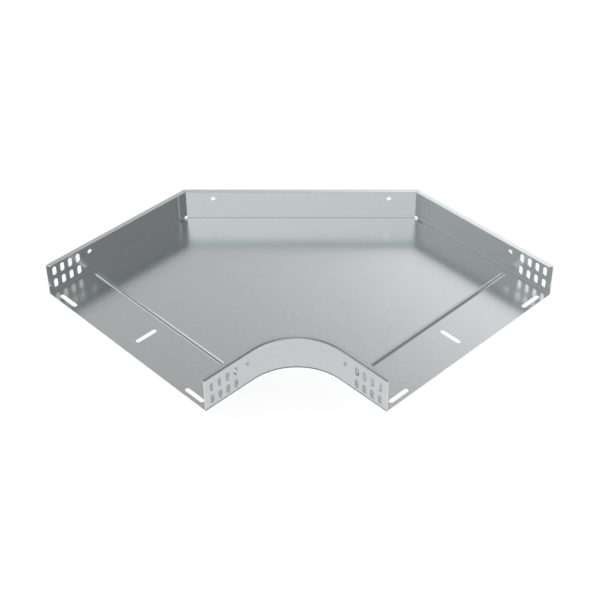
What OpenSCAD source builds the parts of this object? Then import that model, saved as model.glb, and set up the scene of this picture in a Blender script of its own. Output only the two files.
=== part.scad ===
// Horizontal 90 degree bend of a perforated sheet-steel cable tray.
// Two pieces: a body folded from one blank, and an inner side wall that stands on its floor.
// One arm runs out along -Y and the other along +X. The underside is at z = 0.

/* [Overall] */
// Clear width between the side walls of each arm
clear_w = 400; // [250:5:600]
// Overall height of the walls
side_h = 64; // [60:1:120]
// Radius of the inner wall, on its tray side
inner_r = 98; // [70:1:250]
// Straight length of the inner wall at each open end
end_len = 102; // [98:1:250]
// Length that the back wall cuts off each side of the outer corner
corner_leg = 295; // [220:5:330]

/* [Sheet and folds] */
// Thickness of the sheet
sheet_t = 1.5; // [1:0.1:2]
// Inside radius of every fold
fold_r = 1.5; // [0.8:0.1:2.5]
// Width over the outside of the lips along the top of the walls
lip_w = 10; // [8:0.5:14]
// How far a lip's free corner is cut back at an open end
lip_cut = 4; // [0:0.5:8]

/* [Back corners] */
// Reach of the lapped corner tabs from the corner
tab_w = 15; // [12:1:30]
// Distance of the tabs from the top and from the bottom of the wall
tab_inset = 6; // [5:0.5:10]
// Play between a tab and the side wall that it laps
lap_gap = 0.3; // [0.1:0.1:0.6]
// Width of the slits that free a tab from the rest of the back wall
slit_w = 0.8; // [0.4:0.1:1.5]
// Gap at the mitre between two neighbouring lips
mitre_gap = 0.6; // [0.2:0.1:1.5]
// Diameter of the relief hole at each end of the back fold
relief_d = 6; // [5:0.5:10]

/* [Foot of the inner wall] */
// Width over the outside of the foot that rests on the floor
foot_w = 15; // [12:0.5:17]
// How far the foot stops short of each open end
foot_setback = 12; // [0:1:40]
// Number of relief notches in the foot round the curve
notch_count = 7; // [3:1:12]
// Diameter of a notch's round root
notch_root_d = 3; // [1:0.5:5]
// Distance from the foot's fold to a notch's root
notch_clear = 0.5; // [0.2:0.1:2]
// Width of a notch at the foot's free edge
notch_mouth_w = 6; // [3:0.5:10]

/* [Joining slots in the side walls] */
// Width of a slot
slot_w = 8; // [6:0.5:10]
// Height of a slot
slot_h = 18; // [12:0.5:22]
// Slots in a row
slot_count = 4; // [1:1:4]
// Distance of the first slot from the open end
slot_first = 15; // [10:0.5:18]
// Distance from one slot to the next
slot_pitch = 16.5; // [12:0.5:18]
// Height of the lower row above the underside
slot_low_z = 17; // [15:0.5:18]
// Distance between the two rows
slot_row_gap = 25.5; // [24:0.5:26]

/* [Round holes] */
// Diameter of the round holes in the walls
hole_d = 8.5; // [5:0.5:10]
// Height of the round holes above the underside
hole_z = 43; // [20:0.5:46]
// Distance of a side wall's hole from the open end
hole_station = 90; // [86:1:97]
// Distance of a back wall's hole from the middle of that wall
back_hole_offset = 157.5; // [20:0.5:175]

/* [Slots in the floor] */
// Width of a floor slot
floor_slot_w = 8; // [5:0.5:10]
// Length of a floor slot
floor_slot_l = 42; // [20:1:42]
// Distance of the crosswise slots from the open edge
cross_slot_station = 11; // [8:0.5:14]
// Distance of a crosswise slot's middle from its side wall
cross_slot_inset = 37.5; // [37:0.5:60]
// Distance of the lengthwise slot's middle from the open edge
long_slot_station = 46.5; // [36:0.5:60]

/* [Stiffening bead] */
// Width of the bead between its roots
bead_w = 10; // [7:0.5:12]
// Height of its crest above the floor
bead_h = 2.5; // [1:0.1:3]
// Radius of its roots, on the upper side
bead_root_r = 1.2; // [0.4:0.1:1.5]
// Distance of the bead from the open edge
bead_station = 90; // [88:1:110]
// Distance of the bead's end from the outer side wall
bead_outer_gap = 10; // [8:0.5:40]
// Distance of the bead's end from the inner wall
bead_inner_gap = 20; // [17:0.5:60]

/* [Hidden] */
$fn = 24;
curve_fn = 96;                                 // sides of a full circle, for the inner wall's curve
steel = [0.72, 0.74, 0.74];

over = 1;                                      // how far a cutter runs past what it cuts
out_r = fold_r + sheet_t;                      // outside radius of a fold
far = inner_r + clear_w;                       // inside face of an outer side wall
outer = far + sheet_t;                         // outside face of an outer side wall
near = inner_r - sheet_t;                      // outside face of the inner wall
back = (2 * far - corner_leg) / sqrt(2) + sheet_t;   // outside face of the back wall
back_half = sqrt(2) * outer - back;            // half the back wall's outside length
side_run = end_len + sqrt(2) * back - outer;   // outside length of an outer side wall
corner = [-outer, sqrt(2) * back - outer];     // outside corner between side and back wall
inside_corner = [-far, far - corner_leg];
frame_shift = (outer - end_len) / 2;           // puts the origin under the middle of the box

tab_face = far - lap_gap;                      // face of a tab that lies against the side wall
tab_fold = [out_r - tab_face, sqrt(2) * (back - out_r) + out_r - tab_face];   // centre of a tab's fold
tab_fold_along = (tab_fold[0] + tab_fold[1]) / sqrt(2);   // its place along the back wall
tab_flat = tab_fold[1] - corner[1] + tab_w;    // length of a tab's flat
tab_h = side_h - 2 * tab_inset;
fold_steps = 8;                                // flats that draw a tab's fold
seam = 0.5;                                    // how far the floor laps the back wall's flat and the beads
back_base = out_r + 5;                         // reach of the back wall's flat, which is floor too

crest_r = (pow(bead_w / 2, 2) / bead_h + bead_h) / 2 - bead_root_r;
crest_z = sheet_t + bead_h - crest_r;
root_z = sheet_t + bead_root_r;
bead_turn = atan2(bead_w / 2, root_z - crest_z);  // steepest slope of the bead's flank
bead_len = clear_w - bead_outer_gap - bead_inner_gap - bead_w;

// Part of a flat ring between two angles less than 180 degrees apart
module ring_sector(r_out, r_in, from, to) {
    reach = 2 * r_out;
    middle = (from + to) / 2;
    intersection() {
        difference() {
            circle(r_out);
            circle(r_in);
        }
        polygon([
            [0, 0],
            reach * [cos(from), sin(from)],
            reach * [cos(middle), sin(middle)],
            reach * [cos(to), sin(to)]
        ]);
    }
}

// Section of a wall with its lower fold and its lip: x runs inward from the outside face, y is height.
// base is how far the flat part reaches past the lower fold, measured from the outside face.
module wall_section(height, base) {
    translate([0, out_r])
        square([sheet_t, height - 2 * out_r]);
    translate([out_r, out_r])
        ring_sector(out_r, fold_r, 180, 270);
    translate([out_r, height - out_r])
        ring_sector(out_r, fold_r, 90, 180);
    translate([out_r, height - sheet_t])
        square([lip_w - out_r, sheet_t]);
    if (base > out_r)
        translate([out_r, 0])
            square([base - out_r, sheet_t]);
}

// A straight wall along +Y from its open end, with the outside face at x = 0
module wall_run(length, height, base) {
    translate([0, length, 0])
        rotate([90, 0, 0])
            linear_extrude(length)
                wall_section(height, base);
}

// Flat outline of a round-ended slot along Y, centred on the origin
module slot_outline(width, length) {
    square([width, length - width], center = true);
    for (side = [-1, 1])
        translate([0, side * (length - width) / 2])
            circle(d = width);
}

// Cutters for a side wall that runs along +Y from its open end: the joining slots and the round hole
module side_wall_cuts() {
    for (i = [0 : slot_count - 1], row = [0, 1])
        translate([-over, slot_first + i * slot_pitch, slot_low_z + row * slot_row_gap])
            rotate([0, 90, 0])
                linear_extrude(sheet_t + 2 * over)
                    rotate(90)
                        slot_outline(slot_w, slot_h);
    wall_hole(hole_station);
}

// Cutter for one round hole at a distance along a wall
module wall_hole(along) {
    translate([-over, along, hole_z])
        rotate([0, 90, 0])
            cylinder(d = hole_d, h = sheet_t + 2 * over);
}

// Cutter that takes the free corner off a lip at an open end
module lip_end_cut() {
    slope = lip_cut / (lip_w - out_r);
    translate([0, 0, side_h - out_r])
        linear_extrude(out_r + over)
            polygon([
                [out_r, -over],
                [lip_w + over, -over],
                [lip_w + over, slope * (lip_w + over - out_r)],
                [out_r, 0]
            ]);
}

// What lies above the floor's folds on one side of the mitre at the left back corner:
// side is 1 past it and -1 before it
module mitre_side(side) {
    size = 2 * outer;
    translate([corner[0], corner[1], out_r])
        rotate(-22.5)
            translate([-size / 2, side > 0 ? -mitre_gap / 2 : mitre_gap / 2 - size, 0])
                cube([size, size, side_h]);
}

// Outer side wall of the -Y arm, cut square at its open end and mitred at the back
module outer_side_wall() {
    difference() {
        translate([-outer, -end_len, 0])
            difference() {
                wall_run(side_run, side_h, out_r);
                side_wall_cuts();
                lip_end_cut();
            }
        mitre_side(1);
    }
}

// Points on an arc round a centre, from one angle to another
function arc(centre, r, from, to) = [
    for (i = [0 : fold_steps])
        let (a = from + (to - from) * i / fold_steps)
            centre + r * [cos(a), sin(a)]
];

// Tab at the left end of the back wall, folded 45 degrees to lap inside the side wall.
// x runs inward from the back wall's outside face, and y along it.
module corner_tab() {
    centre = [out_r, tab_fold_along];
    along = tab_flat * [cos(45), -sin(45)];
    translate([0, 0, tab_inset])
        linear_extrude(tab_h)
            polygon(concat(
                [[0, tab_fold_along + out_r]],
                arc(centre, out_r, 180, 225),
                [centre - out_r * [cos(45), sin(45)] + along],
                [centre - fold_r * [cos(45), sin(45)] + along],
                arc(centre, fold_r, 225, 180),
                [[sheet_t, tab_fold_along + out_r]]
            ));
}

// Window at the left end of the back wall, where the tab folds away from it
module tab_window() {
    translate([-over, tab_fold_along - tab_w, tab_inset - slit_w])
        cube([sheet_t + 2 * over, tab_w, tab_h + 2 * slit_w]);
}

// Wall across the outer corner, at 45 degrees to both arms, with a tab at each end
module back_wall() {
    difference() {
        rotate(-45)
            translate([-back, 0, 0])
                difference() {
                    translate([0, -back_half, 0])
                        wall_run(2 * back_half, side_h, back_base);
                    for (end = [0, 1])
                        mirror([0, end, 0]) {
                            tab_window();
                            wall_hole(back_hole_offset);
                        }
                }
        both_arms()
            mitre_side(-1);
    }
    rotate(-45)
        translate([-back, 0, 0])
            for (end = [0, 1])
                mirror([0, end, 0])
                    corner_tab();
}

// Repeats what belongs to the -Y arm on the +X arm, mirrored in the plane between them
module both_arms() {
    children();
    mirror([1, 1, 0])
        children();
}

// Part of the plane that holds the bead's crest; its sides run through the centres of the roots
module crest_wedge() {
    reach = 2 * (crest_r + bead_w);
    translate([0, crest_z])
        polygon([
            [0, 0],
            reach * [sin(bead_turn), cos(bead_turn)],
            [0, reach],
            reach * [-sin(bead_turn), cos(bead_turn)]
        ]);
}

// Quarter ring under the middle of the bead's root on the +X side
module root_quarter() {
    size = bead_root_r + sheet_t;
    translate([bead_w / 2, root_z])
        intersection() {
            difference() {
                circle(size);
                circle(bead_root_r);
            }
            translate([-size, -size])
                square(size);
        }
}

// Section of the pressed bead, of even thickness, with its middle at x = 0 and the underside at y = 0.
// The same wedge bounds the crest and the roots, so that they meet exactly.
module bead_section() {
    intersection() {
        translate([0, crest_z])
            difference() {
                circle(crest_r);
                circle(crest_r - sheet_t);
            }
        crest_wedge();
    }
    difference() {
        for (side = [0, 1])
            mirror([side, 0]) {
                root_quarter();
                translate([bead_w / 2, 0])
                    square([seam, sheet_t]);
            }
        crest_wedge();
    }
}

// The bead of the -Y arm, from the outer side wall towards the inner wall
module bead() {
    translate([-far + bead_outer_gap + bead_w / 2, bead_station - end_len, 0]) {
        rotate([90, 0, 90])
            linear_extrude(bead_len)
                bead_section();
        for (end = [0, 1])
            translate([end * bead_len, 0, 0])
                rotate(90 - 180 * end)
                    rotate_extrude(angle = 180)
                        intersection() {
                            bead_section();
                            square(bead_w);
                        }
    }
}

// Cutters for one arm's floor: two crosswise slots, one lengthwise slot and the bead's footprint
module floor_cuts() {
    for (x = [-far + cross_slot_inset, -inner_r - cross_slot_inset])
        translate([x, cross_slot_station - end_len])
            rotate(90)
                slot_outline(floor_slot_w, floor_slot_l);
    translate([-inner_r - clear_w / 2, long_slot_station - end_len])
        slot_outline(floor_slot_w, floor_slot_l);
    translate([-far + bead_outer_gap + (bead_w + bead_len) / 2, bead_station - end_len])
        rotate(90)
            slot_outline(bead_w, bead_len + bead_w);
}

// Flat part of the floor, between the folds and the inner wall's outside face
module floor_plate() {
    side = outer - out_r;
    corner_y = sqrt(2) * (back - out_r - seam) - side;
    linear_extrude(sheet_t)
        difference() {
            polygon([
                [-side, -end_len],
                [-side, corner_y],
                [-corner_y, side],
                [end_len, side],
                [end_len, near],
                [0, near],
                [-near, 0],
                [-near, -end_len]
            ]);
            circle(near);
            both_arms()
                floor_cuts();
        }
}

// Body of the bend: floor, outer side walls and back wall, folded from one blank
module tray_body() {
    color(steel)
        translate([frame_shift, -frame_shift, 0])
            difference() {
                union() {
                    floor_plate();
                    back_wall();
                    both_arms() {
                        bead();
                        outer_side_wall();
                    }
                }
                both_arms()
                    translate([inside_corner[0], inside_corner[1], -over])
                        cylinder(d = relief_d, h = tab_inset + over);
            }
}

// Cutters for the relief notches that let the foot follow the curve
module foot_notches() {
    root_x = near + out_r + notch_clear + notch_root_d / 2;
    for (i = [0 : notch_count - 1])
        rotate(90 + 90 * (i + 0.5) / notch_count)
            translate([root_x, 0, 0])
                linear_extrude(2 * sheet_t + over) {
                    circle(d = notch_root_d);
                    polygon([
                        [0, -notch_root_d / 2],
                        [foot_w, -notch_mouth_w / 2],
                        [foot_w, notch_mouth_w / 2],
                        [0, notch_root_d / 2]
                    ]);
                }
}

// Straight end of the inner wall on the -Y arm
module inner_wall_end() {
    translate([-near, -end_len, 0])
        mirror([1, 0, 0])
            difference() {
                translate([0, 0, sheet_t])
                    wall_run(end_len, side_h - sheet_t, foot_w);
                side_wall_cuts();
                lip_end_cut();
                translate([out_r, -over, 0])
                    cube([foot_w, foot_setback + over, out_r]);
            }
}

// Inner side wall: straight ends and a quarter curve, with a lip above and a notched foot below
module inner_wall() {
    color(steel)
        translate([frame_shift, -frame_shift, 0]) {
            difference() {
                rotate(90)
                    rotate_extrude(angle = 90, $fn = curve_fn)
                        translate([near, sheet_t])
                            wall_section(side_h - sheet_t, foot_w);
                foot_notches();
            }
            both_arms()
                inner_wall_end();
        }
}

tray_body();
inner_wall();
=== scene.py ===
import math

import bpy
from mathutils import Matrix, Vector


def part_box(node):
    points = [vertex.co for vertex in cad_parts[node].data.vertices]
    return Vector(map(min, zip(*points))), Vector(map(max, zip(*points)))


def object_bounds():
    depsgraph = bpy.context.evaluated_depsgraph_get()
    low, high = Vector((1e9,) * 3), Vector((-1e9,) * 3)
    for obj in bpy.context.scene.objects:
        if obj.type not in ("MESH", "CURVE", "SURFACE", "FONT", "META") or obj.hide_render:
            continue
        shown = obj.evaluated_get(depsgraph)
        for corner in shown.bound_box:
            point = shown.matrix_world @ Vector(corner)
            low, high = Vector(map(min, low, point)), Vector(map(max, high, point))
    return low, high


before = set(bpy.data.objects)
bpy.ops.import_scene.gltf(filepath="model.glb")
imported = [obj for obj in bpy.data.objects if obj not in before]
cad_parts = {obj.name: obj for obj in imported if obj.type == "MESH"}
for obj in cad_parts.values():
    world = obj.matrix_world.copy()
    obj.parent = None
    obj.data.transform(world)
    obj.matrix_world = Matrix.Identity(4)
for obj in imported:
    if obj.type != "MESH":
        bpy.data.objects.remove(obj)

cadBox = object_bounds()
mm = 0.001
print("frame: " + ", ".join(sorted(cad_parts)))


# A node's output. Sums of it and numbers add Math nodes, so 1 - mask * 0.5 works.
class Wire:
    def __init__(self, tree, socket=None):
        self.tree = tree
        self.socket = socket

    # any node: its type, its settings, then the values or links of its sockets
    def add(self, kind, settings=None, sockets=None, out=None):
        made = self.tree.nodes.new(kind)
        for name, value in (settings or {}).items():
            if name == "stops":
                fillRamp(made.color_ramp, value)
            else:
                setattr(made, name, value)
        for name, value in (sockets or {}).items():
            into = made.inputs[name] if isinstance(name, int) else openSocket(made.inputs, name)
            if isinstance(value, Wire):
                self.tree.links.new(value.socket, into)
            else:
                into.default_value = value
        return Wire(self.tree, openSocket(made.outputs, out)) if made.outputs else made

    def maths(self, operation, *values):
        return self.add("ShaderNodeMath", {"operation": operation}, dict(enumerate(values)))

    def vectorMaths(self, operation, *values):
        return self.add("ShaderNodeVectorMath", {"operation": operation}, dict(enumerate(values)))

    def __add__(self, other):
        return self.maths("ADD", self, other)

    def __radd__(self, other):
        return self.maths("ADD", other, self)

    def __sub__(self, other):
        return self.maths("SUBTRACT", self, other)

    def __rsub__(self, other):
        return self.maths("SUBTRACT", other, self)

    def __mul__(self, other):
        return self.maths("MULTIPLY", self, other)

    def __rmul__(self, other):
        return self.maths("MULTIPLY", other, self)

    def __truediv__(self, other):
        return self.maths("DIVIDE", self, other)

    def __pow__(self, other):
        return self.maths("POWER", self, other)

    def __rpow__(self, other):
        return self.maths("POWER", other, self)

    def __lt__(self, other):
        return self.maths("LESS_THAN", self, other)

    def __gt__(self, other):
        return self.maths("GREATER_THAN", self, other)

    def __abs__(self):
        return self.maths("ABSOLUTE", self)


def openSocket(sockets, name):
    return next(s for s in sockets if s.enabled and name in (None, s.name))


def fillRamp(ramp, stops):
    while len(ramp.elements) < len(stops):
        ramp.elements.new(1.0)
    for element, (place, colour) in zip(ramp.elements, stops):
        element.position = place
        element.color = (*colour, 1.0)


def newTree(owner):
    owner.use_nodes = True
    owner.node_tree.nodes.clear()
    return Wire(owner.node_tree)


# The camera stands where the photograph was taken from
cameraValues = {
    "place": (1.4008, -1.3295, 1.6143),
    "aim": (0.0396, -0.0358, 0.0320),
    "roll": -0.84,
    "lens": 88.84,
    "sensor": 36.0,
}


def makeCamera(values):
    data = bpy.data.cameras.new("camera")
    data.lens = values["lens"]
    data.sensor_width = values["sensor"]
    camera = bpy.data.objects.new("camera", data)
    place, aim = Vector(values["place"]), Vector(values["aim"])
    forward = (aim - place).normalized()
    level = forward.cross(Vector((0, 0, 1))).normalized()
    up = level.cross(forward)
    roll = math.radians(values["roll"])
    right = math.cos(roll) * level + math.sin(roll) * up
    top = math.cos(roll) * up - math.sin(roll) * level
    turn = Matrix((right, top, -forward)).transposed().to_4x4()
    camera.matrix_world = Matrix.Translation(place) @ turn
    bpy.context.scene.collection.objects.link(camera)
    bpy.context.scene.camera = camera


makeCamera(cameraValues)
print("camera set")


# Soft light all round: each lobe shines from a compass direction and a height, both in degrees.
# Direction 0 is from +Y and 90 from +X, so the camera stands at about 135.
lightValues = {
    "base": 0.10,
    "lobes": [
        {"towards": 230, "height": 14, "tightness": 10, "power": 1.26},
        {"towards": 325, "height": 26, "tightness": 22, "power": 1.20},
        {"towards": 355, "height": 30, "tightness": 20, "power": 0.40},
        {"towards": 150, "height": 26, "tightness": 10, "power": 0.71},
        {"towards": 125, "height": 30, "tightness": 4, "power": 0.67},
        {"towards": 285, "height": 34, "tightness": 20, "power": 0.65},
        {"towards": 30, "height": 10, "tightness": 8, "power": 0.42},
        {"towards": 0, "height": 90, "tightness": 20, "power": 0.60},
    ],
    "panel": {"towards": 336, "height": 27, "radius": 17, "blur": 4, "power": 0.55},
}


def lobeDirection(lobe):
    towards, height = math.radians(lobe["towards"]), math.radians(lobe["height"])
    return Vector((math.sin(towards) * math.cos(height), math.cos(towards) * math.cos(height), math.sin(height)))


def makeLight(values):
    world = bpy.data.worlds.new("studio")
    bpy.context.scene.world = world
    tree = newTree(world)
    look = tree.add("ShaderNodeTexCoord", out="Generated")
    light = values["base"]
    for lobe in values["lobes"]:
        facing = tree.vectorMaths("DOT_PRODUCT", look, lobeDirection(lobe))
        light = light + lobe["power"] * math.e ** ((facing - 1) * lobe["tightness"])
    panel = values["panel"]
    light = light + panel["power"] * tree.add("ShaderNodeMapRange", {"interpolation_type": "SMOOTHSTEP"}, {
        "Value": tree.vectorMaths("DOT_PRODUCT", look, lobeDirection(panel)),
        "From Min": math.cos(math.radians(panel["radius"] + panel["blur"])),
        "From Max": math.cos(math.radians(panel["radius"] - panel["blur"])),
    })
    background = tree.add("ShaderNodeBackground", {}, {"Strength": light})
    tree.add("ShaderNodeOutputWorld", {}, {"Surface": background})


makeLight(lightValues)
bpy.context.scene.view_settings.view_transform = "Standard"
print("light set")


floorValues = {
    "size": 40.0,
    "drop": 0.2 * mm,
    "colour": (0.86, 0.86, 0.86, 1.0),
    "glow": 0.64,
}


def makeFloor(values):
    half = values["size"] / 2
    mesh = bpy.data.meshes.new("floor")
    corners = [(-half, -half, 0), (half, -half, 0), (half, half, 0), (-half, half, 0)]
    mesh.from_pydata(corners, [], [(0, 1, 2, 3)])
    floor = bpy.data.objects.new("floor", mesh)
    floor.location.z = cadBox[0].z - values["drop"]
    bpy.context.scene.collection.objects.link(floor)
    finish = bpy.data.materials.new("pale floor")
    tree = newTree(finish)
    shader = tree.add("ShaderNodeBsdfPrincipled", {}, {
        "Base Color": values["colour"],
        "Roughness": 0.9,
        "Specular IOR Level": 0.0,
        "Emission Color": (1.0, 1.0, 1.0, 1.0),
        "Emission Strength": values["glow"],
    })
    tree.add("ShaderNodeOutputMaterial", {}, {"Surface": shader})
    mesh.materials.append(finish)


makeFloor(floorValues)
print("floor laid")


# Rolled sheet under a skin of zinc: small crystals, faint mottling and a fine grain.
# The last three roughness values are added at cut edges, over folds and across the crystals.
sheetValues = {
    "thickness": 1.5 * mm,
    "foldReach": 4 * mm,
    "crystalSize": 5 * mm,
    "crystalTone": 0.025,
    "mottleSize": 60 * mm,
    "mottleTone": 0.02,
    "grainSize": 0.5 * mm,
    "grainHeight": 0.0002 * mm,
    # the cut edges' own colour, lifted nearly to the zinc's as painted light against the shade along the inner
    # wall's foot
    "cutEdgeAndPaintedLightColour": (0.79, 0.81, 0.81),
    "cutRoughness": 0.12,
    # painted shade over the folds
    "foldPaintedShade": 0.92,
    # painted shade on the outside faces
    "outsidePaintedShade": 0.75,
    "foldRoughness": 0.10,
    "crystalRoughness": 0.02,
}

# Spot welds that hold the foot of the inner wall to the floor
weldValues = {
    "size": 5 * mm,
    "edge": 1.5 * mm,
    "dent": 0.08 * mm,
    "colour": (0.52, 0.52, 0.51),
    "roughness": 0.12,
    "footReach": 111.5 * mm,   # from the centre of the curve to the foot's free edge
    "reach": 105.5 * mm,       # from there to the welds
    "steps": 7,                # steps between welds round the curve
    "ends": (27 * mm, 72 * mm),
}


def split(wire):
    parts = wire.add("ShaderNodeSeparateXYZ", {}, {"Vector": wire})
    owner = parts.socket.node
    return [Wire(wire.tree, owner.outputs[axis]) for axis in "XYZ"]


def either(first, *others):
    for other in others:
        first = first.maths("MAXIMUM", first, other)
    return first


def colourMix(tree, factor, first, second, blend="MIX"):
    first = first if isinstance(first, Wire) else (*first, 1.0)
    second = second if isinstance(second, Wire) else (*second, 1.0)
    return tree.add("ShaderNodeMix", {"data_type": "RGBA", "blend_type": blend},
                    {"Factor": factor, "A": first, "B": second})


def grey(tree, value):
    return tree.add("ShaderNodeCombineColor", {}, {"Red": value, "Green": value, "Blue": value})


def noise(tree, point, size, detail):
    return tree.add("ShaderNodeTexNoise", {}, {"Vector": point, "Scale": 1 / size, "Detail": detail}, out="Fac")


def galvanisedSteel(name, piece, marks):
    steel = bpy.data.materials.new(name)
    tree = newTree(steel)
    point = tree.add("ShaderNodeTexCoord", out="Object")
    normal = tree.add("ShaderNodeNewGeometry", out="Normal")
    cut, fold, weld, outside = marks(split(point), split(normal))
    crystals = tree.add("ShaderNodeTexVoronoi", {"feature": "F1"},
                        {"Vector": point, "Scale": 1 / sheetValues["crystalSize"]}, out="Color")
    crystal = split(crystals)[0] - 0.5
    mottle = noise(tree, point, sheetValues["mottleSize"], 3.0) - 0.5
    grain = noise(tree, point, sheetValues["grainSize"], 2.0)
    # Random tone from crystals and mottling, then painted shade over folds and outside faces
    toneAndShade = 1 + crystal * sheetValues["crystalTone"] + mottle * sheetValues["mottleTone"]
    # Folds are darkened with painted shade
    # Outside faces are darkened with painted shade
    toneAndShade = toneAndShade * (1 - fold * (1 - sheetValues["foldPaintedShade"])) * (1 - outside * (1 - sheetValues["outsidePaintedShade"]))
    colour = colourMix(tree, 1.0, piece["zinc"], grey(tree, toneAndShade), "MULTIPLY")
    # Cut edges take their own colour, lifted in part as painted light
    colour = colourMix(tree, cut, colour, sheetValues["cutEdgeAndPaintedLightColour"])
    colour = colourMix(tree, weld, colour, weldValues["colour"])
    rough = piece["roughness"] + crystal * sheetValues["crystalRoughness"]
    rough = rough + cut * sheetValues["cutRoughness"] + fold * sheetValues["foldRoughness"]
    rough = rough + weld * weldValues["roughness"]
    height = grain * sheetValues["grainHeight"] - weld * weldValues["dent"]
    bump = tree.add("ShaderNodeBump", {}, {"Height": height, "Distance": 1.0, "Strength": 1.0})
    shader = tree.add("ShaderNodeBsdfPrincipled", {}, {
        "Base Color": colour,
        "Metallic": 1.0,
        "Roughness": rough,
        "Normal": bump,
    })
    tree.add("ShaderNodeOutputMaterial", {}, {"Surface": shader})
    return steel


# Near the bottom or the top of a piece, within a number of sheet thicknesses
def nearRim(z, low, high, sheets):
    reach = sheets * sheetValues["thickness"]
    return either(z < low.z + reach, z > high.z - reach)


# A sheet's cut edge stands square to its faces
def edgeOn(part):
    return abs(part) < 0.3


def bent(nz):
    return (abs(nz) > 0.3) * (abs(nz) < 0.97)


def weldPlaces(values):
    low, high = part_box("inner_wall")
    centre = Vector((low.x + values["footReach"], high.y - values["footReach"], 0))
    turns = [math.radians(90 + 90 * step / values["steps"]) for step in range(1, values["steps"])]
    places = [centre + values["reach"] * Vector((math.cos(turn), math.sin(turn), 0)) for turn in turns]
    for along in values["ends"]:
        places.append(centre + Vector((-values["reach"], -along, 0)))
        places.append(centre + Vector((along, values["reach"], 0)))
    return places


def weldSpots(x, y, values):
    flat = x.add("ShaderNodeCombineXYZ", {}, {"X": x, "Y": y})
    nearest = 1.0
    for place in weldPlaces(values):
        nearest = flat.maths("MINIMUM", nearest, flat.vectorMaths("DISTANCE", flat, place))
    rim = values["size"] / 2
    return flat.add("ShaderNodeMapRange", {"interpolation_type": "SMOOTHSTEP"}, {
        "Value": nearest,
        "From Min": rim - values["edge"],
        "From Max": rim,
        "To Min": 1.0,
        "To Max": 0.0,
    })


trayValues = {
    "zinc": (0.793, 0.827, 0.831),
    "roughness": 0.23,
    "backLeg": 295 * mm,   # what the back wall cuts off each side of the corner
}


# Tray body: cut edges are the rims of its slots and holes, its open ends and the edges of its lips
def trayMarks(point, normal):
    low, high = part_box("tray_body")
    x, y, z = point
    nx, ny, nz = normal
    reach = sheetValues["foldReach"]
    backPlane = high.y - low.x - 2 * sheetValues["thickness"] - trayValues["backLeg"]
    leftWall = x < low.x + reach
    rightWall = y > high.y - reach
    backWall = (y - x) > backPlane - reach
    atRim = nearRim(z, low, high, 1.08)
    upright = (1 - nearRim(z, low, high, 1.08)) * (z > low.z + reach)
    otherWall = 1 - either(leftWall, rightWall)
    across = abs(nx) * leftWall + abs(ny) * rightWall + abs(ny - nx) * math.sqrt(0.5) * otherWall
    cut = atRim * edgeOn(nz) + upright * edgeOn(across)
    # Folds: rougher, and darkened with painted shade
    fold = nearRim(z, low, high, 2.1) * bent(nz) * either(leftWall, rightWall, backWall)
    weld = weldSpots(x, y, weldValues) * (nz < -0.9) * (z < low.z + sheetValues["thickness"] / 2)
    # Outer faces of the walls, darkened with painted shade
    outside = (ny - nx) > 0.8
    return cut, fold, weld, outside


innerValues = {
    # a little darker than the tray's zinc: painted shade on the inner wall
    "zinc": (0.762, 0.796, 0.800),
    "roughness": 0.23,
    "straightEnd": 102 * mm,
}


# Inner wall: cut edges are the rims of its slots, its ends, the notches of its foot and its free edges
def innerMarks(point, normal):
    low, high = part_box("inner_wall")
    x, y, z = point
    nx, ny, nz = normal
    leftEnd = y < low.y + innerValues["straightEnd"]
    rightEnd = x > high.x - innerValues["straightEnd"]
    atRim = nearRim(z, low, high, 1.08)
    upright = (1 - atRim) * (z > low.z + sheetValues["foldReach"])
    cut = atRim * edgeOn(nz) + upright * (leftEnd * edgeOn(nx) + rightEnd * edgeOn(ny))
    # Folds: rougher, and darkened with painted shade
    fold = nearRim(z, low, high, 2.1) * bent(nz)
    weld = weldSpots(x, y, weldValues) * (nz > 0.9) * (z < low.z + 2 * sheetValues["thickness"])
    # The wall's face that looks out of the tray, darkened with painted shade
    outside = (nx - ny) > 0.8
    return cut, fold, weld, outside


def dress(node, finish):
    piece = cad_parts[node]
    piece.data.materials.clear()
    piece.data.materials.append(finish)


dress("tray_body", galvanisedSteel("galvanised tray", trayValues, trayMarks))
dress("inner_wall", galvanisedSteel("galvanised inner wall", innerValues, innerMarks))
print("steel finished")
